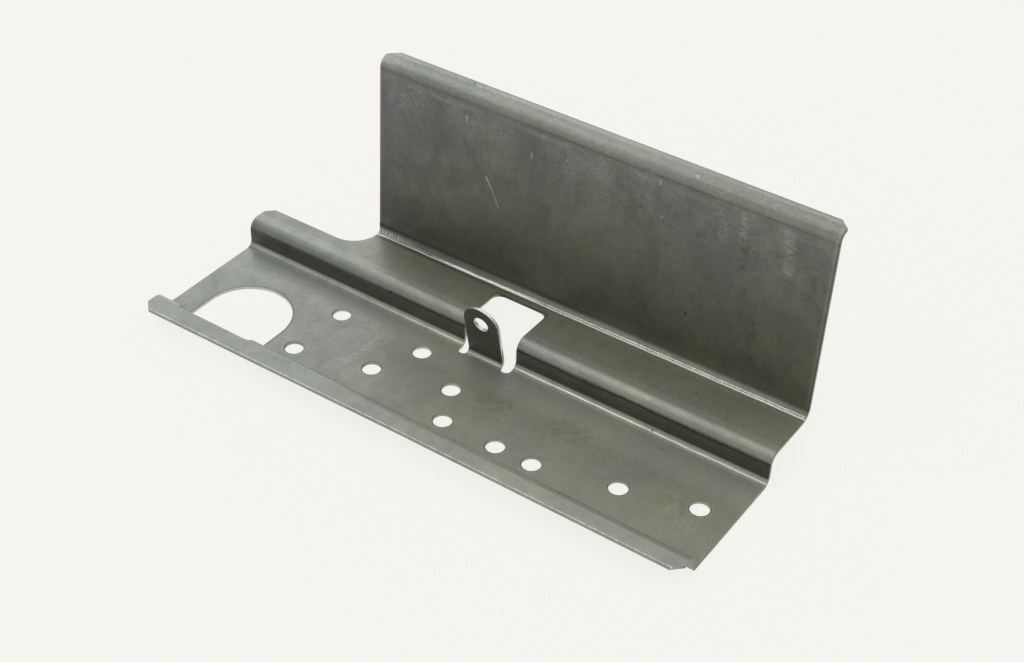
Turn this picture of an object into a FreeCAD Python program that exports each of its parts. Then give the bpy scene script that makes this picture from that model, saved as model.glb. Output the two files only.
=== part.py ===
import FreeCAD, Part
import math
import os
from FreeCAD import Vector

# A stamped bracket, folded from one sheet of steel. From front to back it has a rail with a lip,
# a flat base full of holes, a step up to a shelf, a tall wall and a short flange on top of the wall.
# An ear with one hole is bent up out of a window between the base and the shelf.
# X runs along the folds, Y from the rail to the wall, and Z up. Lengths are in millimetres, angles
# in degrees. The sheet is laid out from its middle hole, on the underside of the base, and moved at
# the end so that the origin is the centre of its footprint.

sheet_thickness = 1.5
punched_edge_roll = 0.25

# Lengths along X. The bracket's two are from the middle hole to each end, and the others from an end.
left_length = 153.5
right_length = 152.5
ledge_length = 58.6
lip_straight_length = 145.0

# Depths along Y, between the faces that can be seen from the front.
hole_to_rail = 32.6
hole_to_step = 31.8
lip_depth = 14.05
lip_widening = 1.45
shelf_depth = 34.35
flange_depth = 10.35

# Heights along Z, between the upper faces of the flats.
rail_height = 9.3
step_height = 15.2
wall_height = 98.3
wall_lean = 2.74

# Inner radii of the bends, from front to back.
lip_bend_radius = 4.5
rail_foot_radius = 1.0
step_foot_radius = 3.9
step_top_radius = 4.4
wall_foot_radius = 5.3
flange_bend_radius = 3.7

# Corners of the blank.
lip_chamfer = 4.8
flange_chamfer = 5.0
ledge_chamfer = 4.3

# Round between the ledge and the foot of the wall. Its run is the straight stretch after its arc.
ledge_round_radius = 14.7
ledge_round_run = 2.6
ledge_round_past_wall_end = 1.6
ledge_round_end_radius = 5.0

# Round holes through the base.
hole_diameter = 9.2
front_row_to_rail = 12.6
second_row_to_rail = 22.6
back_row_to_step = 17.8
front_row_places = (10.0, 40.0, 60.0)
second_row_place = -40.0
back_row_place = -28.0
right_hole_to_end = 16.5
second_hole_to_end = 52.5
front_hole_to_arch = 13.1
back_hole_to_arch = 15.1

# Arched cut-out, from the base through the rail and into the crown of its bend.
arch_radius = 23.1
arch_to_left_end = 14.2
arch_centre_to_rail = 18.2
arch_reach_past_rail = 4.9
arch_corner_radius = 2.0

# Ear, with the slots beside it and the window behind it.
ear_width = 20.0
ear_lean = 11.5
ear_bend_radius = 3.0
ear_to_step = 3.2
ear_hole_diameter = 7.8
ear_hole_height = 24.3
slot_width = 5.2
slot_past_bend = 0.15
window_to_wall = 7.45
window_corner_radius = 5.0

# Cutting solids run past the faces that they cut by this much.
cut_margin = 5.0

left_end = -left_length
right_end = right_length
wall_left_end = left_end + ledge_length
base_top = sheet_thickness
rail_face = -hole_to_rail
step_face = hole_to_step
lip_top = base_top + rail_height
lip_edge = rail_face - lip_depth
lip_left_edge = lip_edge - lip_widening
shelf_top = base_top + step_height
wall_foot = step_face + shelf_depth
flange_top = shelf_top + wall_height
wall_head = wall_foot + wall_height * math.tan(math.radians(wall_lean))
flange_edge = wall_head + flange_depth
ledge_round_end = wall_foot - ledge_round_past_wall_end
ledge_edge = ledge_round_end - ledge_round_run - ledge_round_radius

ear_corner = step_face - ear_to_step
ear_bend_reach = ear_bend_radius * math.tan(math.radians(90.0 + ear_lean) / 2)
ear_bend_line = ear_corner - ear_bend_reach
slot_radius = slot_width / 2
slot_place = ear_width / 2 + slot_radius
slot_round_centre = ear_bend_line - slot_past_bend + slot_radius


def corner_arc(before, corner, after, radius):
    """Start, middle and end of the arc that rounds the corner."""
    to_before = (before - corner).normalize()
    to_after = (after - corner).normalize()
    half_angle = to_before.getAngle(to_after) / 2
    reach = radius / math.tan(half_angle)
    inward = (to_before + to_after).normalize()
    middle = corner + inward * (radius / math.sin(half_angle) - radius)
    return corner + to_before * reach, middle, corner + to_after * reach


def outline(points, radii):
    """A flat face whose corners are rounded by the radii, where 0 leaves a corner sharp."""
    edges = []
    starts = []
    ends = []
    for index, radius in enumerate(radii):
        corner = points[index]
        following = points[(index + 1) % len(points)]
        if radius == 0:
            starts.append(corner)
            ends.append(corner)
            continue
        start, middle, end = corner_arc(points[index - 1], corner, following, radius)
        edges.append(Part.Arc(start, middle, end).toShape())
        starts.append(start)
        ends.append(end)
    for index, end in enumerate(ends):
        start = starts[(index + 1) % len(starts)]
        if end.distanceToPoint(start) > 1e-6:
            edges.append(Part.LineSegment(end, start).toShape())
    return Part.Face(Part.Wire(Part.__sortEdges__(edges)))


def other_side(direction):
    """From the face that a fold path follows to the sheet's other face, for one flat."""
    return Vector(0, direction.z, -direction.y) * sheet_thickness


def folded_sheet(path, inner_radii, x_start, x_end, end_roll=0):
    """The sheet folded along a path of points on one face, with a bend at each inner point."""
    directions = [(end - start).normalize() for start, end in zip(path, path[1:])]
    face_radii = [0]
    other_face = [path[0] + other_side(directions[0])]
    other_radii = [0]
    for corner, before, after, radius in zip(path[1:], directions, directions[1:], inner_radii):
        offset = (other_side(before) + other_side(after)) / (1 + before.dot(after))
        other_face.append(corner + offset)
        turns_up = before.cross(after).x > 0
        face_radii.append(radius if turns_up else radius + sheet_thickness)
        other_radii.append(radius + sheet_thickness if turns_up else radius)
    face_radii.append(end_roll)
    other_face.append(path[-1] + other_side(directions[-1]))
    other_radii.append(0)
    section = outline(path + other_face[::-1], face_radii + other_radii[::-1])
    section.translate(Vector(x_start, 0, 0))
    return section.extrude(Vector(x_end - x_start, 0, 0))


def plan_cut(corners, radii, bottom, top):
    """A vertical prism between two heights, on an outline given as (x, y) corners."""
    face = outline([Vector(x, y, bottom) for x, y in corners], radii)
    return face.extrude(Vector(0, 0, top - bottom))


def corner_cut(x_end, y_end, x_inward, y_inward, size, bottom, top):
    """A prism that chamfers one corner of a flat. The inward signs point into the sheet."""
    reach = size + cut_margin
    corners = [
        (x_end - x_inward * cut_margin, y_end - y_inward * cut_margin),
        (x_end + x_inward * reach, y_end - y_inward * cut_margin),
        (x_end - x_inward * cut_margin, y_end + y_inward * reach),
    ]
    return plan_cut(corners, [0, 0, 0], bottom, top)


def folded_blank():
    """Rail, base, step, shelf, wall and flange, at full length and with the lip still at its widest."""
    path = [
        Vector(0, lip_left_edge, lip_top),
        Vector(0, rail_face, lip_top),
        Vector(0, rail_face, base_top),
        Vector(0, step_face, base_top),
        Vector(0, step_face, shelf_top),
        Vector(0, wall_foot, shelf_top),
        Vector(0, wall_head, flange_top),
        Vector(0, flange_edge, flange_top),
    ]
    inner_radii = [
        lip_bend_radius,
        rail_foot_radius,
        step_foot_radius,
        step_top_radius,
        wall_foot_radius,
        flange_bend_radius,
    ]
    return folded_sheet(path, inner_radii, left_end, right_end, punched_edge_roll)


def ledge_cut():
    """Takes the wall away at the left end, and leaves the front of the shelf there as a ledge.

    The round between ledge and wall bites a little past the wall's end, at the foot of the wall.
    """
    round_side = wall_left_end + ledge_round_past_wall_end
    corners = [
        (left_end - cut_margin, ledge_edge - ledge_chamfer - cut_margin),
        (left_end + ledge_chamfer, ledge_edge),
        (round_side, ledge_edge),
        (round_side, ledge_round_end),
        (wall_left_end, wall_foot),
        (wall_left_end, flange_edge + cut_margin),
        (left_end - cut_margin, flange_edge + cut_margin),
    ]
    radii = [0, 0, ledge_round_radius, ledge_round_end_radius, 0, 0, 0]
    return plan_cut(corners, radii, base_top, flange_top + cut_margin)


def lip_trim():
    """Trims the lip's front edge, which is straight at the right and spreads towards the left end."""
    bottom = lip_top - 2 * sheet_thickness
    corners = [
        (left_end, lip_left_edge),
        (right_end - lip_straight_length, lip_edge),
        (right_end + cut_margin, lip_edge),
        (right_end + cut_margin, lip_left_edge - cut_margin),
        (left_end, lip_left_edge - cut_margin),
    ]
    return plan_cut(corners, [0] * len(corners), bottom, lip_top + cut_margin)


def chamfer_cuts():
    """The two front corners of the lip and the two back corners of the flange."""
    lip_bottom = lip_top - sheet_thickness
    lip_levels = (lip_bottom - sheet_thickness, lip_top + sheet_thickness)
    flange_bottom = flange_top - sheet_thickness
    flange_levels = (flange_bottom - sheet_thickness, flange_top + sheet_thickness)
    return [
        corner_cut(left_end, lip_left_edge, 1, 1, lip_chamfer, *lip_levels),
        corner_cut(right_end, lip_edge, -1, 1, lip_chamfer, *lip_levels),
        corner_cut(wall_left_end, flange_edge, 1, -1, flange_chamfer, *flange_levels),
        corner_cut(right_end, flange_edge, -1, -1, flange_chamfer, *flange_levels),
    ]


def arch_cut():
    """The arched cut-out, with its straight sides running forward into the rail."""
    left_side = left_end + arch_to_left_end
    right_side = left_side + 2 * arch_radius
    front = rail_face - arch_reach_past_rail
    back = rail_face + arch_centre_to_rail + arch_radius
    corners = [(left_side, front), (right_side, front), (right_side, back), (left_side, back)]
    radii = [arch_corner_radius, arch_corner_radius, arch_radius, arch_radius]
    return plan_cut(corners, radii, -cut_margin, lip_top + cut_margin)


def punch(diameter):
    """A round punch along Z, whose bevelled rim sits where the sheet's upper face is at 0."""
    radius = diameter / 2
    mouth = radius + punched_edge_roll
    below = -sheet_thickness - cut_margin
    corners = [
        Vector(0, 0, below),
        Vector(radius, 0, below),
        Vector(radius, 0, -punched_edge_roll),
        Vector(mouth, 0, 0),
        Vector(mouth, 0, cut_margin),
        Vector(0, 0, cut_margin),
    ]
    return outline(corners, [0] * len(corners)).revolve(Vector(0, 0, 0), Vector(0, 0, 1), 360)


def hole_places():
    """Centres of the round holes in the base, as (x, y)."""
    arch_side = left_end + arch_to_left_end + 2 * arch_radius
    front_row = rail_face + front_row_to_rail
    second_row = rail_face + second_row_to_rail
    back_row = step_face - back_row_to_step
    places = [(x, front_row) for x in front_row_places]
    places.append((arch_side + front_hole_to_arch, front_row))
    places.append((arch_side + back_hole_to_arch, back_row))
    places.append((back_row_place, back_row))
    places.append((second_row_place, second_row))
    places.append((right_end - second_hole_to_end, second_row))
    places.append((right_end - right_hole_to_end, 0))
    places.append((0, 0))
    return places


def hole_cuts():
    """One punch for each round hole in the base."""
    cuts = []
    for x, y in hole_places():
        tool = punch(hole_diameter)
        tool.translate(Vector(x, y, base_top))
        cuts.append(tool)
    return cuts


def slot_rounds():
    """Upright cylinders at the closed ends of the two slots beside the ear."""
    height = shelf_top + 2 * cut_margin
    rounds = []
    for x in (-slot_place, slot_place):
        foot = Vector(x, slot_round_centre, -cut_margin)
        rounds.append(Part.makeCylinder(slot_radius, height, foot))
    return rounds


def window_cuts():
    """The window through step and shelf, the slots, and the place that the ear was bent out of."""
    top = shelf_top + cut_margin
    back = wall_foot - window_to_wall
    outer = slot_place + slot_radius
    window = [(-outer, slot_round_centre), (outer, slot_round_centre), (outer, back), (-outer, back)]
    window_radii = [0, 0, window_corner_radius, window_corner_radius]
    inner = slot_place
    root = [(-inner, ear_bend_line), (inner, ear_bend_line), (inner, back - window_corner_radius)]
    root.append((-inner, back - window_corner_radius))
    cuts = [plan_cut(window, window_radii, -cut_margin, top), plan_cut(root, [0] * 4, -cut_margin, top)]
    return cuts + slot_rounds()


def ear():
    """The ear, from its bend in the base to its round top, with its hole."""
    lean = math.radians(ear_lean)
    upward = Vector(0, -math.sin(lean), math.cos(lean))
    half_width = ear_width / 2
    corner = Vector(0, ear_corner, base_top)
    start = Vector(0, ear_bend_line - sheet_thickness, base_top)
    bend_top = corner + upward * (ear_bend_reach + sheet_thickness)

    root = folded_sheet([start, corner, bend_top], [ear_bend_radius], -slot_place, slot_place)
    root = root.cut(slot_rounds())
    sides = []
    for x in (-half_width - slot_width, half_width):
        foot = Vector(x, slot_round_centre, -cut_margin)
        sides.append(Part.makeBox(slot_width, shelf_top, shelf_top, foot))
    root = root.cut(sides)

    top = ear_hole_height + half_width
    corners = [
        Vector(-half_width, 0, ear_bend_reach),
        Vector(half_width, 0, ear_bend_reach),
        Vector(half_width, 0, top),
        Vector(-half_width, 0, top),
    ]
    blade = outline(corners, [0, 0, half_width, half_width]).extrude(Vector(0, sheet_thickness, 0))
    hole = punch(ear_hole_diameter)
    hole.rotate(Vector(0, 0, 0), Vector(1, 0, 0), 90)
    hole.translate(Vector(0, 0, ear_hole_height))
    blade = blade.cut(hole)
    blade.rotate(Vector(0, 0, 0), Vector(1, 0, 0), ear_lean)
    blade.translate(corner)
    return root.fuse(blade)


def bracket():
    """The whole bracket as one solid, with its origin under the centre of its footprint."""
    cuts = [ledge_cut(), lip_trim(), arch_cut()] + chamfer_cuts() + hole_cuts() + window_cuts()
    sheet = folded_blank().cut(cuts)
    whole = sheet.fuse(ear()).removeSplitter()
    solid = whole.Solids[0]
    footprint = solid.BoundBox
    solid.translate(Vector(-footprint.Center.x, -footprint.Center.y, 0))
    return solid


os.makedirs("parts", exist_ok=True)
bracket().exportStep("parts/bracket.step")
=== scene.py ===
import bpy
from mathutils import Matrix, Vector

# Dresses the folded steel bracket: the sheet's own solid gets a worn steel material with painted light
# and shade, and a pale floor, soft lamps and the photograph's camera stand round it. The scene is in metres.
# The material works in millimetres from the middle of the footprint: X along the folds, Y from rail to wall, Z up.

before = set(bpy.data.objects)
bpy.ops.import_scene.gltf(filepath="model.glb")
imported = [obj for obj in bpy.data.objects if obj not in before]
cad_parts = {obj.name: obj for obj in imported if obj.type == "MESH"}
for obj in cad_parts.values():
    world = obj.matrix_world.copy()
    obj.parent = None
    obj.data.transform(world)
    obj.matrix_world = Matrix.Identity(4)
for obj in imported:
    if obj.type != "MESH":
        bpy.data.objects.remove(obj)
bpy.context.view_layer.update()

# Camera, worked out from the bracket's straight folds.
camera_place = (0.37765, -0.52054, 0.53639)
camera_right = (0.81802, 0.57489, 0.01881)
camera_up = (-0.36947, 0.50009, 0.78320)
camera_back = (0.44085, -0.64762, 0.62149)
camera_lens = 61.34
camera_sensor = 36.0

# Surroundings.
pale = (0.922, 0.905, 0.871, 1.0)
floor_size = 12.0
floor_own_light = 0.90
world_fill = 0.95

# Places on the bracket that the material needs, in millimetres.
MM = 1000.0
hole_radius = 4.6
hole_places = (
    (10.5, -36.6), (40.5, -36.6), (60.5, -36.6), (-79.5, -36.6), (-77.5, -2.6),
    (-27.5, -2.6), (-39.5, -26.6), (100.5, -26.6), (136.5, -16.6), (0.5, -16.6),
)
arch_centre = (-115.7, -31.0)
arch_radius = 23.1
window_middle = (0.5, 29.0)
window_half = (15.2, 13.1)
sheet_top = 1.5
shelf_level = 16.7
wall_left_end = -94.4
right_end = 153.0
ear_hole_centre = (0.5, 7.9, 25.3)
ear_hole_axis = (0.0, 0.98, 0.20)

# Steel colours: a cool and a warm grey, mixed and then scaled by each place's level, which carries painted light and
# shade; the clean grey tints the burnished lines and the painted highlights.
cool_grey = (0.915, 1.0, 0.955, 1.0)
warm_grey = (0.985, 1.0, 0.745, 1.0)
burnish_and_highlight_grey = (0.99, 1.0, 0.975, 1.0)


class Graph:
    """Short calls for building a node tree. Every call gives the new node's first output."""

    def __init__(self, tree):
        self.tree = tree
        tree.nodes.clear()

    def node(self, kind, inputs=(), **settings):
        made = self.tree.nodes.new(kind)
        for name, value in settings.items():
            setattr(made, name, value)
        pairs = inputs.items() if isinstance(inputs, dict) else enumerate(inputs)
        for key, value in pairs:
            self.put(made.inputs[key], value)
        return made

    def put(self, socket, value):
        """Links a socket to another, or sets it to a plain value."""
        if isinstance(value, bpy.types.NodeSocket):
            self.tree.links.new(value, socket)
        else:
            socket.default_value = value

    def math(self, operation, *inputs):
        return self.node("ShaderNodeMath", inputs, operation=operation).outputs[0]

    def times(self, *values):
        """The product of all the values."""
        result = values[0]
        for value in values[1:]:
            result = self.math("MULTIPLY", result, value)
        return result

    def sum(self, *values):
        result = values[0]
        for value in values[1:]:
            result = self.math("ADD", result, value)
        return result

    def either(self, *values):
        """The largest of all the values."""
        result = values[0]
        for value in values[1:]:
            result = self.math("MAXIMUM", result, value)
        return result

    def clamp(self, value):
        return self.node("ShaderNodeClamp", [value]).outputs[0]

    def vector(self, operation, *inputs):
        return self.node("ShaderNodeVectorMath", inputs, operation=operation).outputs[0]

    def ramp(self, value, low, high, low_to=0.0, high_to=1.0):
        """Goes smoothly from low_to to high_to as value goes from low to high."""
        inputs = {"Value": value, "From Min": low, "From Max": high, "To Min": low_to, "To Max": high_to}
        return self.node("ShaderNodeMapRange", inputs, interpolation_type="SMOOTHSTEP").outputs[0]

    def band(self, value, low, high, soft):
        """1 from low to high, falling to 0 over the soft distance outside."""
        rise = self.ramp(value, low - soft, low)
        fall = self.ramp(value, high, high + soft, 1.0, 0.0)
        return self.times(rise, fall)

    def curve(self, value, low, high, points):
        """Reads a curve of (place, height) points, where places run from low to high."""
        made = self.node("ShaderNodeFloatCurve")
        line = made.mapping.curves[0]
        scaled = [((place - low) / (high - low), height) for place, height in points]
        for place, height in scaled[1:-1]:
            line.points.new(place, height)
        line.points[0].location = scaled[0]
        line.points[len(line.points) - 1].location = scaled[-1]
        made.mapping.update()
        span = {"Value": value, "From Min": low, "From Max": high}
        self.put(made.inputs["Value"], self.node("ShaderNodeMapRange", span).outputs[0])
        return made.outputs[0]

    def noise(self, place, scale, detail=3.0, rough=0.5, twist=0.0):
        inputs = {"Vector": place, "Scale": scale, "Detail": detail, "Roughness": rough, "Distortion": twist}
        return self.node("ShaderNodeTexNoise", inputs).outputs[0]

    def colour_mix(self, amount, first, second, blend="MIX"):
        made = self.node("ShaderNodeMix", data_type="RGBA", blend_type=blend)
        first_socket, second_socket = [socket for socket in made.inputs if socket.type == "RGBA"]
        self.put(made.inputs[0], amount)
        self.put(first_socket, first)
        self.put(second_socket, second)
        return [socket for socket in made.outputs if socket.type == "RGBA"][0]


class Steel(Graph):
    """The bracket's material. Each method gives a mask or a level for one kind of mark."""

    def __init__(self, tree):
        super().__init__(tree)
        coordinates = self.node("ShaderNodeTexCoord")
        scaled = self.node("ShaderNodeVectorMath", operation="SCALE")
        scaled.inputs["Scale"].default_value = MM
        self.put(scaled.inputs[0], coordinates.outputs["Object"])
        self.place = scaled.outputs[0]
        self.x, self.y, self.z = self.node("ShaderNodeSeparateXYZ", [self.place]).outputs
        self.facing = self.node("ShaderNodeSeparateXYZ", [coordinates.outputs["Normal"]]).outputs
        forward = self.math("MULTIPLY", self.facing["Y"], -1.0)
        turned = self.math("ARCTAN2", forward, self.facing["Z"])
        self.angle = self.math("DEGREES", turned)
        self.wall = self.times(self.ramp(self.z, 19.0, 24.0), self.ramp(self.y, 42.0, 46.0))
        self.from_hole = self.to_hole()
        self.from_arch = self.to_arch()
        self.from_window = self.to_window()

    def stretched(self, x, y, z):
        return self.vector("MULTIPLY", self.place, (x, y, z))

    def upright(self):
        """The step, the wall and the ear's front, but no cut edge."""
        turned = self.ramp(self.angle, 58.0, 76.0)
        step_or_wall = self.ramp(self.y, 12.5, 13.5)
        ear = self.times(self.band(self.x, -9.2, 10.2, 0.3), self.ramp(self.y, 3.0, 5.0))
        above = self.ramp(self.z, 2.0, 3.2)
        side = self.ramp(self.math("ABSOLUTE", self.facing["X"]), 0.4, 0.8, 1.0, 0.0)
        return self.times(turned, self.either(step_or_wall, ear), above, side)

    def upright_painted_shade(self):
        # Painted shade: the step, the wall and the ear's front are painted dark, a little darker on the ear, lighter
        # higher up the wall, darker high at the wall's left end, and lighter low at its right end and just above its
        # foot.
        low = self.ramp(self.z, 14.0, 72.0, 0.070, 0.148)
        ear = self.ramp(self.y, 11.5, 13.5, -0.012, 0.0)
        tone = self.sum(low, ear, self.ramp(self.z, 88.0, 108.0, 0.0, 0.014))
        left = self.times(self.ramp(self.z, 50.0, 65.0), self.ramp(self.x, -60.0, -20.0, -0.10, 0.0))
        right = self.times(self.ramp(self.z, 18.0, 24.0), self.ramp(self.z, 35.0, 60.0, 1.0, 0.0), self.ramp(self.x, 50.0, 130.0, 0.0, 0.20))
        near_foot = self.times(self.band(self.z, 17.0, 22.0, 5.0), self.ramp(self.y, 42.0, 46.0), 0.22)
        return self.times(tone, self.sum(left, right, near_foot, 1.0))

    def flat_level(self):
        """How light the flats are painted, with painted light and shade: lighter towards the left end, a little lighter
        on the base in front of the step, near the ridge's crest and on the lip, darker on the shelf in painted shade
        from the wall, lighter on most of the flange and a little darker at its right end, and darker on faces turned to
        the back.
        """
        base = self.ramp(self.x, -140.0, 0.0, 0.358, 0.328)
        back = self.times(self.band(self.y, -1.0, 16.0, 10.0), self.ramp(self.z, 3.0, 8.0, 1.0, 0.0),
                          self.ramp(self.x, -70.0, 0.0, 0.050, 0.070))
        crest = self.times(self.band(self.y, 20.5, 22.5, 4.0), self.ramp(self.z, 15.5, 16.5), 0.025)
        lip = self.times(self.ramp(self.y, -56.0, -50.0, 1.0, 0.0), 0.030)
        shelf = self.times(self.ramp(self.z, 15.5, 16.5), self.ramp(self.y, 22.0, 44.0))
        shade = self.ramp(self.x, -60.0, 60.0, 0.075, 0.030)
        shaded = self.times(shelf, self.ramp(self.x, -92.0, -70.0), shade)
        flange = self.times(self.ramp(self.z, 110.0, 114.5), self.ramp(self.x, -95.0, -60.0, 0.0, 0.05), self.ramp(self.x, 0.0, 120.0, 1.0, -0.4))
        behind = self.times(self.ramp(self.facing["Y"], 0.4, 0.8), self.ramp(self.z, 18.0, 24.0), -0.07)
        return self.sum(base, back, lip, crest, self.times(shaded, -1.0), flange, behind)

    def bend_highlights_and_shade(self):
        """Painted highlights and shade: how the bends differ from the flats, by how far the sheet has turned."""
        root = self.times(self.band(self.z, 1.0, 7.0, 1.0), self.band(self.y, 9.5, 16.0, 1.0))
        ridge = self.times(self.band(self.z, 8.5, 17.5, 1.0), self.band(self.y, 14.0, 24.0, 1.0))
        top = self.ramp(self.z, 107.0, 109.0)
        foot = self.times(self.band(self.z, 16.0, 23.0, 0.6), self.band(self.y, 43.6, 51.0, 0.6))
        crown_lift = self.ramp(self.x, -95.0, -60.0, 0.25, 0.62)
        crown_fade = self.ramp(self.x, 20.0, 130.0, 1.0, 0.6)
        crown = self.times(self.ramp(self.angle, -28.0, -3.0, 1.0, 0.0), self.ramp(self.angle, -48.0, -34.0, -0.35, 1.0),
                           self.ramp(self.y, -50.0, -48.0, 1.0, 0.0), crown_lift, crown_fade)
        root_curve = self.curve(self.angle, 0.0, 90.0, [
            (0.0, 0.50), (14.0, 0.43), (20.0, 0.36), (30.0, 0.33), (36.0, 0.38), (42.0, 0.39),
            (48.0, 0.30), (58.0, 0.31), (64.0, 0.34), (72.0, 0.40), (90.0, 0.50)])
        ridge_curve = self.curve(self.angle, 0.0, 90.0, [
            (0.0, 0.55), (12.0, 0.545), (25.0, 0.465), (32.0, 0.385), (39.0, 0.325), (46.0, 0.275),
            (53.0, 0.26), (60.0, 0.29), (67.0, 0.38), (75.0, 0.60), (90.0, 0.50)])
        top_curve = self.curve(self.angle, 0.0, 90.0, [
            (0.0, 0.50), (12.0, 0.53), (25.0, 0.535), (32.0, 0.49), (39.0, 0.41), (46.0, 0.345),
            (53.0, 0.31), (60.0, 0.33), (67.0, 0.44), (75.0, 0.56), (90.0, 0.50)])
        foot_curve = self.curve(self.angle, 0.0, 90.0, [
            (0.0, 0.53), (5.0, 0.42), (9.0, 0.40), (16.0, 0.46), (27.0, 0.41), (34.0, 0.34), (38.0, 0.26),
            (50.0, 0.25), (57.0, 0.22), (63.0, 0.16), (69.0, 0.20), (77.0, 0.42), (90.0, 0.52)])
        foot_gain = self.sum(self.times(foot, self.ramp(self.x, -90.0, 90.0, -0.50, 0.10), self.ramp(self.angle, 70.0, 85.0, 1.0, 0.0)), 1.0)
        left_root = self.times(root, self.band(self.angle, 10.0, 30.0, 8.0), self.ramp(self.x, -90.0, 20.0, -0.20, 0.0))
        left_line = self.times(root, self.band(self.angle, 34.0, 40.0, 5.0), self.ramp(self.x, -90.0, -50.0, -0.18, 0.0))
        ridge_gain = self.sum(self.times(ridge, self.ramp(self.angle, 10.0, 30.0), self.ramp(self.x, -120.0, 50.0, -0.20, 0.26),
                                         self.ramp(self.x, 50.0, 110.0, 1.0, 0.55)), 1.0)
        level = self.sum(self.times(root, self.sum(root_curve, -0.5)),
                         self.times(ridge, self.sum(ridge_curve, -0.5)),
                         self.times(top, self.sum(top_curve, -0.5)),
                         self.times(foot, self.sum(foot_curve, -0.5)))
        return self.times(self.sum(self.times(level, 2.0), crown, left_root, left_line, 1.0), ridge_gain, foot_gain)

    def root_highlight(self):
        """A painted highlight: the bright thin line along the bend at the foot of the step, ragged, shifting across the
        bend along its length and faint at the ear.
        """
        place = self.times(self.band(self.z, 1.0, 6.0, 1.0), self.band(self.y, 10.0, 16.0, 1.0))
        ragged = self.noise(self.stretched(0.25, 1.0, 1.0), 1.0, 3.0, 0.6)
        waver = self.noise(self.stretched(0.05, 0.0, 0.0), 1.0, 3.0, 0.5)
        bent = self.sum(self.angle, self.ramp(waver, 0.2, 0.8, -3.0, 3.0), self.ramp(self.x, -140.0, 40.0, -2.0, -0.5),
                        self.ramp(self.x, 40.0, 120.0, 0.0, 3.0))
        line = self.band(bent, 33.0, 38.0, 4.0)
        strength = self.times(self.ramp(self.x, -110.0, 70.0, 0.03, 1.0), self.ramp(self.x, 50.0, 120.0, 1.0, 0.85))
        at_ear = self.sum(self.times(self.band(self.x, -10.0, 11.0, 1.0), -0.65), 1.0)
        return self.times(place, line, strength, at_ear, self.ramp(ragged, 0.3, 0.6, 0.7, 1.0))

    def foot_lines(self):
        """The two ragged bright lines along the foot of the wall, partly scratched steel and partly a painted highlight
        on the bend, broken up by cross scratches.
        """
        place = self.times(self.band(self.z, 16.0, 22.0, 0.5), self.band(self.y, 43.6, 50.0, 0.5))
        cross = self.noise(self.stretched(1.5, 0.25, 0.25), 1.0, 3.0, 0.7)
        waver = self.noise(self.stretched(0.08, 0.0, 0.0), 1.0, 3.0, 0.5)
        shift = self.ramp(self.x, -90.0, 120.0, 2.5, -4.0)
        bent = self.sum(self.angle, self.ramp(waver, 0.2, 0.8, -2.0, 2.0), shift)
        lower_strength = self.sum(self.ramp(self.x, -90.0, -40.0, 0.95, 1.15), self.ramp(self.x, 0.0, 60.0, 0.0, -0.25))
        wide = self.times(self.band(bent, 14.5, 24.0, 4.0), self.ramp(self.x, -60.0, -40.0), self.ramp(self.x, -10.0, 15.0, 1.0, 0.0))
        narrow = self.band(bent, 14.5, 18.0, 3.0)
        lower = self.times(self.either(wide, narrow), self.ramp(cross, 0.30, 0.52, 0.6, 1.0), lower_strength)
        upper_strength = self.ramp(self.x, -40.0, 50.0, 0.10, 0.58)
        upper = self.times(self.band(bent, 29.5, 31.5, 2.0), self.ramp(cross, 0.40, 0.58, 0.4, 1.0), upper_strength)
        haze = self.times(self.band(bent, 12.0, 27.0, 3.0), self.ramp(cross, 0.35, 0.7, 0.0, 0.18))
        return self.times(place, self.either(lower, upper, haze))

    def comb(self):
        """Short upright scratches side by side over the foot of the wall, near its free end."""
        place = self.times(self.band(self.x, -95.0, -84.0, 16.0), self.band(self.z, 16.6, 17.6, 1.8), self.ramp(self.y, 43.0, 45.0))
        slant = self.sum(self.x, self.times(self.z, 0.35))
        teeth = self.noise(self.node("ShaderNodeCombineXYZ", [slant]).outputs[0], 1.7, 2.0, 0.6)
        return self.times(place, self.ramp(teeth, 0.46, 0.58))

    def from_lip_edge(self):
        """Distance behind the lip's front edge, which spreads towards the left end."""
        spread = self.node("ShaderNodeMapRange", [self.x, -153.0, 8.0, 64.63, 63.18]).outputs[0]
        return self.sum(self.y, spread)

    def lip_burr(self):
        """The bright sheared edge along the front of the lip."""
        line = self.times(self.band(self.from_lip_edge(), 0.35, 0.75, 0.35), self.band(self.z, 10.4, 11.5, 0.3))
        ragged = self.noise(self.stretched(0.4, 0.4, 0.4), 1.0, 3.0, 0.6)
        return self.times(line, self.ramp(ragged, 0.35, 0.6, 0.35, 1.0))

    def flange_streaks(self):
        """Streaks along the flange, with a lighter band near its back edge."""
        streak = self.noise(self.stretched(0.02, 1.1, 1.1), 1.0, 3.0, 0.6)
        band = self.times(self.ramp(self.z, 113.5, 114.6), self.band(self.y, 61.4, 63.4, 0.5))
        return self.times(band, self.ramp(streak, 0.3, 0.6, 0.3, 1.0))

    def long_streaks(self):
        """Fine streaks along the folds on the flange and its bend, as a share of the level."""
        lines = self.noise(self.stretched(0.012, 1.7, 1.7), 1.0, 2.0, 0.7)
        place = self.times(self.ramp(self.z, 107.5, 109.5), self.ramp(self.angle, 55.0, 70.0, 1.0, 0.0))
        return self.sum(self.times(place, self.ramp(lines, 0.3, 0.7, -0.075, 0.075)), 1.0)

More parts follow.
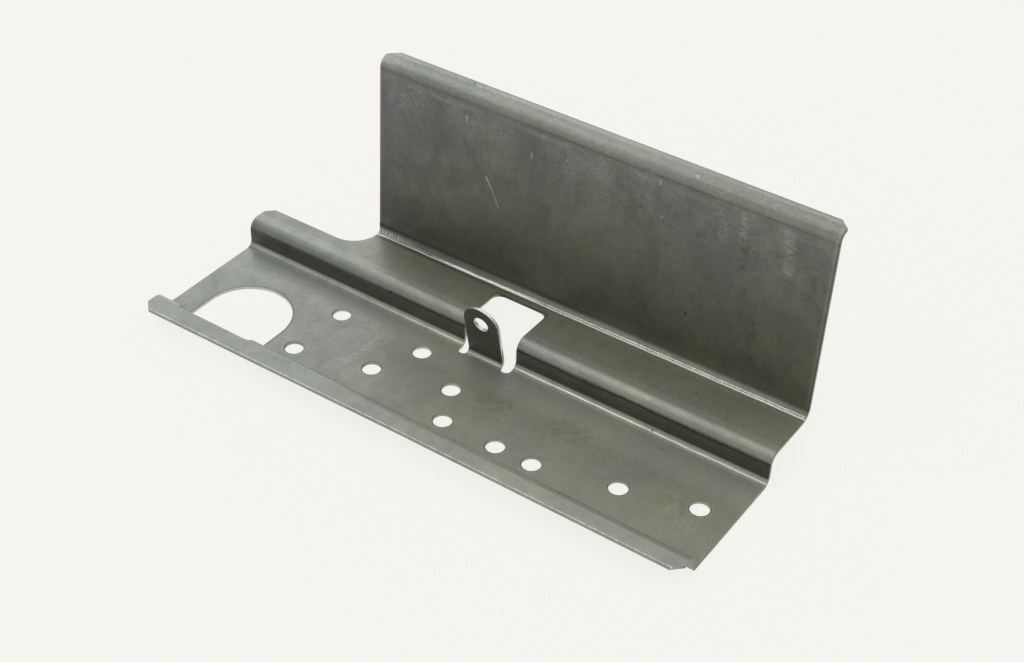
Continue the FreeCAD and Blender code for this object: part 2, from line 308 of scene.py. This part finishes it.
    def crackle(self):
        """Fine rough patches in the sheet's skin, mostly high on the wall."""
        fine = self.noise(self.stretched(0.55, 0.8, 0.8), 1.0, 3.0, 0.8, 1.2)
        patch = self.noise(self.place, 0.045, 4.0, 0.65, 0.8)
        high = self.either(self.times(self.wall, self.ramp(self.z, 60.0, 95.0)), 0.18)
        return self.sum(self.times(self.ramp(patch, 0.42, 0.62), self.ramp(fine, 0.35, 0.65, -0.14, 0.24), high), 1.0)

    def arch_wall(self):
        """The cut wall of the arched cut-out."""
        near = self.times(self.band(self.from_arch, -0.4, 0.15, 0.1), self.ramp(self.z, 1.8, 2.5, 1.0, 0.0))
        return self.times(near, self.ramp(self.math("ABSOLUTE", self.facing["Z"]), 0.3, 0.6, 1.0, 0.0))

    def ear_rim(self):
        """The bright sheared edge round the ear's top and right side."""
        near = self.times(self.band(self.x, -9.6, 10.8, 0.2), self.band(self.y, 4.0, 10.5, 0.5), self.ramp(self.z, 7.0, 10.0))
        across = self.math("ABSOLUTE", self.sum(self.times(self.facing["Y"], ear_hole_axis[1]), self.times(self.facing["Z"], ear_hole_axis[2])))
        outward = self.ramp(self.facing["X"], -0.5, 0.1)
        return self.times(near, self.ramp(across, 0.3, 0.6, 1.0, 0.0), outward)

    def forming_lines(self):
        """Where the press tools touched the wall just under the flange: a rough, broken pale line. The dark line above
        it is painted shade.
        """
        along = self.noise(self.stretched(0.06, 0.06, 0.3), 1.0, 4.0, 0.65)
        line = self.times(self.wall, self.band(self.z, 105.6, 106.8, 1.3), self.ramp(along, 0.42, 0.60))
        return line

    def bend_shade_and_dark_rims(self):
        """Dark lines: painted shade beside the bends, under the flange's bend and under the ridge, with dark specks
        just above the ridge's line; dark rims along the right end, the lip's front edge and the flange's back edge; and
        a darker right end face.
        """
        broken = self.noise(self.stretched(0.05, 0.3, 0.3), 1.0, 4.0, 0.6)
        under_top = self.times(self.wall, self.band(self.z, 109.2, 109.8, 0.8), self.ramp(broken, 0.35, 0.6, 0.2, 0.6))
        waver = self.noise(self.stretched(0.03, 0.0, 0.0), 1.0, 3.0, 0.6)
        jagged = self.noise(self.stretched(0.45, 0.0, 0.0), 1.0, 3.0, 0.7)
        height = self.sum(self.z, self.ramp(waver, 0.3, 0.7, -0.5, 0.5), self.ramp(jagged, 0.3, 0.7, -0.25, 0.25))
        below = self.band(self.y, 14.0, 18.5, 0.5)
        along_ridge = self.times(below, self.ramp(self.x, -70.0, -40.0, 0.15, 1.0), self.ramp(broken, 0.3, 0.5, 0.6, 1.0))
        under_ridge = self.times(self.band(height, 11.45, 11.85, 0.45), along_ridge, 1.45)
        speck = self.ramp(self.noise(self.stretched(0.5, 0.9, 0.9), 1.0, 2.0, 0.6), 0.60, 0.68)
        specks = self.times(self.band(height, 12.0, 13.4, 0.8), along_ridge, speck, self.ramp(self.x, -20.0, 60.0), 1.2)
        right_rim = self.times(self.band(self.x, 152.5, 153.0, 0.2), self.ramp(self.z, 14.0, 16.0), 0.5)
        front_rim = self.times(self.ramp(self.from_lip_edge(), 0.05, 0.25, 0.5, 0.0), self.band(self.z, 9.0, 12.0, 0.3))
        back_rim = self.times(self.ramp(self.y, 64.0, 64.5), self.ramp(self.z, 113.0, 114.0), 0.5)
        end_face = self.times(self.ramp(self.facing["X"], 0.5, 0.8), self.ramp(self.x, 151.5, 152.5), 0.95)
        return self.either(under_top, under_ridge, specks, right_rim, front_rim, back_rim, end_face)

    def pale_rims(self):
        """Thin pale lines beside the wall's two upright ends and round the punched openings."""
        left = self.times(self.band(self.x, -94.5, -93.6, 0.5), self.wall, 0.8)
        right = self.times(self.band(self.x, 151.3, 152.0, 0.5), self.wall, 0.8)
        near_base = self.times(self.ramp(self.z, 1.2, 1.4), self.ramp(self.z, 2.0, 3.0, 1.0, 0.0))
        near_shelf = self.band(self.z, 16.2, 17.4, 0.4)
        hole = self.times(self.band(self.from_hole, 0.9, 1.3, 0.5), near_base, 0.7)
        window = self.times(self.band(self.from_window, 0.9, 1.3, 0.5), near_shelf, 0.7)
        broken = self.ramp(self.noise(self.place, 0.12, 2.0, 0.5), 0.4, 0.6, 0.2, 1.0)
        return self.sum(left, right, self.times(self.either(hole, window), broken))

    def ear_hole_wall(self):
        """The freshly cut wall of the ear's hole."""
        across = self.vector("SUBTRACT", self.place, ear_hole_centre)
        run = self.node("ShaderNodeVectorMath", [across, ear_hole_axis], operation="DOT_PRODUCT").outputs["Value"]
        whole = self.node("ShaderNodeVectorMath", [across], operation="LENGTH").outputs["Value"]
        away = self.math("SQRT", self.either(self.sum(self.times(whole, whole), self.times(run, run, -1.0)), 0.0))
        return self.times(self.ramp(away, 4.05, 4.25, 1.0, 0.0), self.band(run, -2.0, 2.0, 0.5))


    def to_hole(self):
        """Distance from the nearest round hole's wall, on the base."""
        flat = self.vector("MULTIPLY", self.place, (1.0, 1.0, 0.0))
        nearest = None
        for x, y in hole_places:
            away = self.node("ShaderNodeVectorMath", [flat, (x, y, 0.0)], operation="DISTANCE").outputs["Value"]
            nearest = away if nearest is None else self.math("MINIMUM", nearest, away)
        return self.sum(nearest, -hole_radius)

    def to_arch(self):
        """Distance from the arched cut-out's wall, outside it."""
        x = self.math("ABSOLUTE", self.sum(self.x, -arch_centre[0]))
        y = self.either(self.sum(self.y, -arch_centre[1]), 0.0)
        across = self.node("ShaderNodeCombineXYZ", [x, y]).outputs[0]
        away = self.node("ShaderNodeVectorMath", [across], operation="LENGTH").outputs["Value"]
        return self.sum(away, -arch_radius)

    def to_window(self):
        """Distance from the window's rim, on the shelf."""
        x = self.either(self.sum(self.math("ABSOLUTE", self.sum(self.x, -window_middle[0])), -window_half[0]), 0.0)
        y = self.either(self.sum(self.math("ABSOLUTE", self.sum(self.y, -window_middle[1])), -window_half[1]), 0.0)
        across = self.node("ShaderNodeCombineXYZ", [x, y]).outputs[0]
        return self.node("ShaderNodeVectorMath", [across], operation="LENGTH").outputs["Value"]

    def rims(self):
        """A darker ring just outside every punched opening; the faint pale one round it comes from pale_rims."""
        base = self.ramp(self.z, 1.2, 1.4)
        low = self.ramp(self.z, 2.0, 3.0, 1.0, 0.0)
        hole = self.times(self.band(self.from_hole, 0.1, 0.45, 0.35), base, low)
        arch = self.times(self.band(self.from_arch, 0.2, 0.7, 0.4), base, low)
        shelf = self.ramp(self.z, 15.5, 16.5)
        window = self.times(self.band(self.from_window, 0.05, 0.35, 0.3), shelf, self.ramp(self.z, 17.5, 18.5, 1.0, 0.0))
        return self.either(hole, arch, window)

    def scratch(self, start, end, width, strength):
        """One straight scratch from start to end, in millimetres, tapering at its ends."""
        along = Vector(end) - Vector(start)
        length = along.length
        direction = along.normalized()
        offset = self.vector("SUBTRACT", self.place, tuple(start))
        run = self.node("ShaderNodeVectorMath", [offset, tuple(direction)], operation="DOT_PRODUCT").outputs["Value"]
        back = self.node("ShaderNodeVectorMath", operation="SCALE")
        back.inputs[0].default_value = tuple(direction)
        self.put(back.inputs["Scale"], run)
        aside = self.vector("SUBTRACT", offset, back.outputs[0])
        away = self.node("ShaderNodeVectorMath", [aside], operation="LENGTH").outputs["Value"]
        line = self.ramp(away, width * 0.3, width, strength, 0.0)
        return self.times(line, self.band(run, 0.15 * length, 0.85 * length, 0.15 * length))

    def scuff(self, start, end, width, strength):
        """A soft field of fine cross scratches along a line."""
        field = self.scratch(start, end, width, strength)
        fine = self.noise(self.stretched(0.45, 1.3, 2.4), 1.0, 3.0, 0.75)
        return self.times(field, self.ramp(fine, 0.45, 0.62))

    def hairlines(self, turn, length, seed, low, high):
        """A field of fine straight scratches, turned by an angle round the sheet's normal."""
        mapped = self.node("ShaderNodeMapping", vector_type="POINT")
        self.put(mapped.inputs["Vector"], self.place)
        mapped.inputs["Rotation"].default_value = turn
        mapped.inputs["Location"].default_value = (seed, seed * 2.0, seed * 3.0)
        squeezed = self.vector("MULTIPLY", mapped.outputs[0], (1.0 / length, 1.6, 1.6))
        return self.ramp(self.noise(squeezed, 1.0, 1.0, 0.5), low, high)


# Scratches and pale marks that stand out: start, end, width in millimetres, and how light.
pale_marks = (
    ((-29.9, 52.3, 73.8), (-26.0, 52.0, 67.4), 0.55, 1.0),
    ((-26.4, 52.0, 68.4), (-21.0, 51.5, 57.5), 0.45, 0.75),
    ((-38.0, 53.0, 83.5), (-31.0, 52.5, 76.0), 0.35, 0.25),
    ((-42.2, 53.7, 102.5), (-42.0, 53.5, 98.5), 0.45, 0.8),
    ((-4.3, 53.4, 96.6), (-4.1, 53.2, 92.4), 0.45, 0.8),
    ((15.0, 53.6, 100.2), (15.4, 53.5, 98.4), 0.55, 0.6),
    ((64.7, 54.0, 108.3), (64.9, 53.8, 104.6), 0.5, 0.9),
    ((67.2, 53.2, 90.1), (67.6, 53.1, 88.9), 0.6, 0.8),
    ((-82.4, 53.5, 98.7), (-77.0, 53.6, 101.5), 0.4, 0.35),
    ((-70.8, 53.4, 96.2), (-74.6, 53.6, 101.0), 0.4, 0.45),
    ((-83.0, 53.2, 92.0), (-77.5, 53.4, 97.5), 0.4, 0.3),
    ((-87.0, -54.5, 10.8), (-70.0, -54.0, 10.8), 0.4, 0.5),
    ((-40.6, 61.8, 115.0), (-39.0, 60.6, 115.0), 0.8, 0.9),
    ((49.0, -62.7, 10.8), (50.0, -62.7, 10.8), 0.7, 1.0),
    ((75.4, -62.9, 10.8), (76.4, -62.9, 10.8), 0.7, 1.0),
    ((78.6, 46.6, 17.2), (81.4, 48.0, 18.2), 0.5, 0.9),
    ((80.6, 46.2, 17.0), (79.4, 48.6, 18.6), 0.4, 0.7),
    ((80.4, 57.6, 114.8), (82.4, 56.0, 114.6), 0.8, 1.0),
)

# Scuffed places: start, end, width in millimetres, and how light.
scuffs = (
    ((-53.2, -38.0, 1.5), (-51.6, -1.0, 1.5), 1.6, 1.6),
    ((-51.0, -30.0, 1.5), (-50.0, -8.0, 1.5), 1.2, 1.1),
    ((-59.0, -29.0, 1.5), (-49.0, -30.0, 1.5), 1.6, 1.1),
    ((130.2, 53.9, 109.0), (132.0, 52.9, 82.0), 4.0, 1.5),
    ((107.8, 53.9, 109.0), (108.2, 53.3, 90.0), 3.0, 1.3),
    ((97.8, 53.7, 106.0), (98.4, 53.2, 88.0), 3.6, 1.1),
    ((121.0, -25.5, 1.5), (130.0, -22.5, 1.5), 6.5, 1.1),
    ((131.0, -28.0, 1.5), (143.0, -29.0, 1.5), 6.0, 0.9),
    ((121.0, -15.0, 1.5), (127.0, -16.5, 1.5), 4.0, 0.6),
    ((-90.0, 53.0, 94.0), (-58.0, 53.0, 103.0), 10.0, 0.55),
    ((-52.0, 53.0, 96.0), (-10.0, 53.0, 102.0), 9.0, 0.55),
    ((12.0, 53.0, 92.0), (38.0, 53.0, 103.0), 10.0, 0.6),
    ((82.0, 17.8, 15.8), (89.0, 18.6, 16.1), 2.6, 0.9),
)

# Brown stains: start, end, width in millimetres, and how strong.
stains = (
    ((109.4, 53.3, 96.0), (110.2, 52.5, 77.0), 3.2, 1.30),
    ((12.0, -16.0, 1.5), (34.0, -14.0, 1.5), 12.0, 0.60),
    ((50.0, -12.0, 1.5), (74.0, -5.0, 1.5), 12.0, 0.60),
    ((116.0, -20.0, 1.5), (136.0, -24.0, 1.5), 8.0, 0.45),
    ((48.0, 36.4, 16.7), (52.0, 36.6, 16.7), 5.0, 0.60),
    ((22.0, 38.4, 16.7), (28.0, 38.4, 16.7), 6.0, 0.60),
    ((82.0, -51.7, 10.0), (92.0, -51.7, 10.0), 2.6, 0.90),
    ((70.0, 51.5, 50.0), (74.0, 51.8, 62.0), 8.0, 0.35),
    ((60.0, 49.0, 19.5), (68.0, 49.2, 22.0), 8.0, 0.35),
    ((118.0, 51.0, 30.0), (121.0, 51.5, 50.0), 5.0, 0.70),
    ((60.0, 51.0, 30.0), (64.0, 52.0, 62.0), 12.0, 0.30),
    ((143.0, 53.0, 74.0), (144.0, 53.0, 96.0), 5.0, 0.90),
)

# Dark pits and nicks: place, radius in millimetres, and how dark.
dark_marks = (
    ((-85.2, 51.6, 59.5), 0.9, 0.45),
    ((85.3, 50.9, 43.9), 1.1, 0.7),
    ((119.0, 51.3, 53.5), 0.8, 0.5),
    ((-60.6, 15.3, 11.9), 1.1, 0.85),
    ((93.4, 13.9, 2.5), 0.8, 0.7),
    ((102.6, 6.9, 1.5), 0.6, 0.7),
    ((103.9, 33.6, 16.7), 0.8, 0.6),
    ((-43.8, 62.1, 115.0), 1.2, 0.6),
    ((-46.5, 61.4, 115.0), 0.8, 0.5),
    ((68.5, 53.0, 87.5), 0.7, 0.4),
    ((141.0, 61.0, 115.0), 0.8, 0.5),
    ((146.0, 60.2, 115.0), 0.7, 0.5),
)


def steel_material():
    material = bpy.data.materials.new("worn_steel_and_painted_light")
    material.use_nodes = True
    steel = Steel(material.node_tree)

    cloud = steel.noise(steel.place, 0.022, 4.0, 0.6, 0.3)
    mottle = steel.noise(steel.place, 0.075, 6.0, 0.68, 0.6)
    grain = steel.noise(steel.place, 0.75, 4.0, 0.75)
    streak = steel.noise(steel.stretched(0.11, 0.11, 0.018), 1.0, 5.0, 0.7, 0.6)

    scratches = steel.either(
        steel.times(steel.hairlines((0.0, 0.9, 0.0), 14.0, 3.0, 0.62, 0.80), 0.6),
        steel.times(steel.hairlines((0.0, 2.1, 0.5), 9.0, 7.0, 0.64, 0.80), 0.6),
        steel.times(steel.hairlines((0.0, 0.2, 1.1), 18.0, 13.0, 0.63, 0.80), 0.6),
        steel.times(steel.hairlines((0.3, 0.0, 2.4), 12.0, 21.0, 0.64, 0.82), 0.6),
    )
    scratched = steel.times(scratches, steel.ramp(steel.noise(steel.place, 0.035, 3.0, 0.5), 0.42, 0.62))

    marks = steel.either(*[steel.scratch(*mark) for mark in pale_marks])
    pits = None
    for centre, radius, depth in dark_marks:
        away = steel.node("ShaderNodeVectorMath", [steel.place, centre], operation="DISTANCE").outputs["Value"]
        pit = steel.ramp(away, radius * 0.4, radius, depth, 0.0)
        pits = pit if pits is None else steel.either(pits, pit)

    rubbed = steel.either(*[steel.scuff(*field) for field in scuffs])
    stained = steel.either(*[steel.scratch(*field) for field in stains])
    stain_edge = steel.ramp(steel.noise(steel.place, 0.30, 5.0, 0.85, 0.4), 0.42, 0.60)
    stained = steel.times(stained, stain_edge)

    upright = steel.upright()
    # The level: the flats' painted light and the uprights' painted shade, then the bends' painted highlights and shade,
    # then the steel's own mottle, grain and marks.
    level = steel.node("ShaderNodeMix", {0: upright, 2: steel.flat_level(), 3: steel.upright_painted_shade()}).outputs[0]
    level = steel.times(level, steel.bend_highlights_and_shade())
    calm = steel.ramp(steel.z, 107.0, 109.0, 1.0, 0.35)
    level = steel.times(level, steel.sum(steel.times(steel.ramp(mottle, 0.25, 0.75, -0.10, 0.10), calm), 1.0))
    level = steel.times(level, steel.ramp(grain, 0.25, 0.75, 0.90, 1.10))
    level = steel.times(level, steel.sum(steel.times(steel.ramp(cloud, 0.3, 0.7, -0.05, 0.05), calm), 1.0))
    patches = steel.ramp(steel.noise(steel.stretched(0.07, 0.05, 0.045), 1.0, 6.0, 0.72, 0.8), 0.3, 0.7, -0.12, 0.12)
    level = steel.times(level, steel.sum(steel.times(patches, steel.wall, calm), 1.0))
    streaked = steel.times(steel.wall, steel.ramp(steel.z, 30.0, 90.0, 0.4, 1.0))
    streaks = steel.sum(steel.times(streaked, steel.ramp(streak, 0.3, 0.7, -0.04, 0.04)), 1.0)
    level = steel.times(level, streaks, steel.long_streaks(), steel.crackle())
    rims = steel.rims()
    level = steel.times(level, steel.sum(steel.times(rims, -0.30), 1.0))
    level = steel.times(level, steel.sum(steel.times(pits, -1.0), 1.0))
    level = steel.times(level, steel.sum(steel.times(stained, -0.28), 1.0))
    level = steel.times(level, steel.sum(steel.times(steel.bend_shade_and_dark_rims(), -0.45), 1.0))
    # Bright lines: burnished and sheared edges and scratches, with the painted highlights along the foot of the step
    # and the foot of the wall.
    burnish_and_highlights = steel.either(steel.times(steel.foot_lines(), 0.95), steel.times(steel.root_highlight(), 0.34),
                             steel.times(steel.comb(), 0.30), steel.times(steel.lip_burr(), 0.28),
                             steel.times(steel.ear_hole_wall(), 0.35), steel.times(steel.ear_rim(), 0.55),
                             steel.times(steel.arch_wall(), 0.16))
    light = steel.either(burnish_and_highlights, steel.times(marks, 0.24), steel.times(scratched, 0.05),
                         steel.times(rubbed, 0.09), steel.times(steel.pale_rims(), 0.06),
                         steel.times(steel.flange_streaks(), 0.10), steel.times(steel.forming_lines(), 0.05))
    level = steel.sum(level, light)

    # Tints, cool to warm. warm_shelf and warm_wall give the shelf and the wall the warm tint of their painted
    # reflection, and warm_top warms the painted highlight on the flange's bend.
    warmth = steel.ramp(steel.x, -150.0, 10.0, 0.05, 0.60)
    warm_lip = steel.times(steel.ramp(steel.y, -56.0, -50.0, 1.0, 0.0), -0.22)
    warm_shelf = steel.times(steel.band(steel.z, 16.0, 17.5, 0.5), steel.ramp(steel.x, -95.0, -60.0),
                             steel.ramp(steel.y, 20.0, 40.0, 0.05, 0.45))
    warm_top = steel.times(steel.ramp(steel.z, 107.0, 109.0), steel.band(steel.angle, 22.0, 60.0, 12.0), 0.12)
    neutral_ridge = steel.times(steel.band(steel.z, 9.0, 16.6, 0.5), steel.band(steel.y, 14.0, 23.0, 1.0), -0.16)
    cool_flange = steel.times(steel.ramp(steel.z, 112.5, 114.6), -0.35)
    warmth = steel.sum(warmth, warm_lip, warm_shelf, neutral_ridge, cool_flange)
    warm_wall = steel.sum(steel.ramp(steel.z, 20.0, 108.0, 0.95, 0.40), steel.ramp(steel.x, -95.0, -40.0, -0.28, 0.0))
    on_wall = steel.either(steel.times(steel.wall, steel.ramp(steel.z, 111.0, 114.0, 1.0, 0.0)), upright)
    warmth = steel.node("ShaderNodeMix", {0: on_wall, 2: warmth, 3: warm_wall}).outputs[0]
    blotch = steel.sum(steel.ramp(cloud, 0.35, 0.65, -0.16, 0.16), steel.ramp(mottle, 0.3, 0.7, -0.08, 0.08))
    warmth = steel.clamp(steel.sum(warmth, warm_top, blotch, steel.times(stained, 0.8)))
    tint = steel.colour_mix(warmth, cool_grey, warm_grey)
    tint = steel.colour_mix(steel.clamp(steel.times(burnish_and_highlights, 3.0)), tint, burnish_and_highlight_grey)
    tone = steel.node("ShaderNodeCombineColor", [level, level, level]).outputs[0]
    colour = steel.colour_mix(1.0, tint, tone, "MULTIPLY")

    roughness = steel.sum(steel.ramp(mottle, 0.3, 0.7, 0.44, 0.34), steel.times(burnish_and_highlights, -0.3))

    height = steel.sum(steel.times(grain, 0.05), steel.times(mottle, 0.10), steel.times(pits, -0.3))
    edge = steel.node("ShaderNodeBevel", {"Radius": 0.00035}, samples=4).outputs[0]
    bump = steel.node("ShaderNodeBump", {"Strength": 0.35, "Distance": 0.001, "Height": height, "Normal": edge})

    shader = steel.node("ShaderNodeBsdfPrincipled", {"Metallic": 0.65})
    steel.put(shader.inputs["Base Color"], colour)
    steel.put(shader.inputs["Roughness"], roughness)
    steel.put(shader.inputs["Normal"], bump.outputs[0])
    output = steel.node("ShaderNodeOutputMaterial")
    steel.put(output.inputs["Surface"], shader.outputs[0])
    return material


def seen_as_background(graph):
    """1 for rays from the camera and for reflections, 0 for the light that falls on things."""
    path = graph.node("ShaderNodeLightPath")
    seen = graph.math("MAXIMUM", path.outputs["Is Camera Ray"], path.outputs["Is Glossy Ray"])
    return graph.math("MAXIMUM", seen, path.outputs["Is Transmission Ray"])


def floor_material():
    material = bpy.data.materials.new("pale_floor")
    material.use_nodes = True
    graph = Graph(material.node_tree)
    matte = graph.node("ShaderNodeBsdfDiffuse", {"Color": pale})
    glow = graph.node("ShaderNodeEmission", {"Color": pale, "Strength": 1.0})
    amount = graph.math("MULTIPLY", seen_as_background(graph), floor_own_light)
    both = graph.node("ShaderNodeMixShader", [amount, matte.outputs[0], glow.outputs[0]])
    output = graph.node("ShaderNodeOutputMaterial")
    graph.put(output.inputs["Surface"], both.outputs[0])
    return material


def make_floor():
    half = floor_size / 2
    mesh = bpy.data.meshes.new("floor")
    corners = [(-half, -half, 0), (half, -half, 0), (half, half, 0), (-half, half, 0)]
    mesh.from_pydata(corners, [], [(0, 1, 2, 3)])
    mesh.materials.append(floor_material())
    floor = bpy.data.objects.new("floor", mesh)
    bpy.context.scene.collection.objects.link(floor)


def make_world():
    world = bpy.data.worlds.new("studio")
    world.use_nodes = True
    graph = Graph(world.node_tree)
    fill = graph.node("ShaderNodeBackground", {"Color": (1.0, 1.0, 1.0, 1.0), "Strength": world_fill})
    view = graph.node("ShaderNodeBackground", {"Color": pale, "Strength": 1.0})
    both = graph.node("ShaderNodeMixShader", [seen_as_background(graph), fill.outputs[0], view.outputs[0]])
    output = graph.node("ShaderNodeOutputWorld")
    graph.put(output.inputs["Surface"], both.outputs[0])
    bpy.context.scene.world = world


def make_lamp(name, place, aim, size, power):
    light = bpy.data.lights.new(name, "AREA")
    light.shape = "SQUARE"
    light.size = size
    light.energy = power
    lamp = bpy.data.objects.new(name, light)
    lamp.location = place
    direction = Vector(aim) - Vector(place)
    lamp.rotation_euler = direction.to_track_quat("-Z", "Y").to_euler()
    bpy.context.scene.collection.objects.link(lamp)


def make_camera():
    data = bpy.data.cameras.new("camera")
    data.lens = camera_lens
    data.sensor_width = camera_sensor
    data.clip_start = 0.01
    camera = bpy.data.objects.new("camera", data)
    turn = Matrix((camera_right, camera_up, camera_back)).transposed()
    camera.matrix_world = Matrix.Translation(camera_place) @ turn.to_4x4()
    bpy.context.scene.collection.objects.link(camera)
    bpy.context.scene.camera = camera


make_camera()
bpy.context.scene.view_settings.view_transform = "Standard"
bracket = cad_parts["bracket"]
bracket.material_slots[0].material = steel_material()
make_floor()
make_world()
make_lamp("key", (-0.62, -0.70, 1.05), (0.0, 0.0, 0.03), 0.9, 1.5)
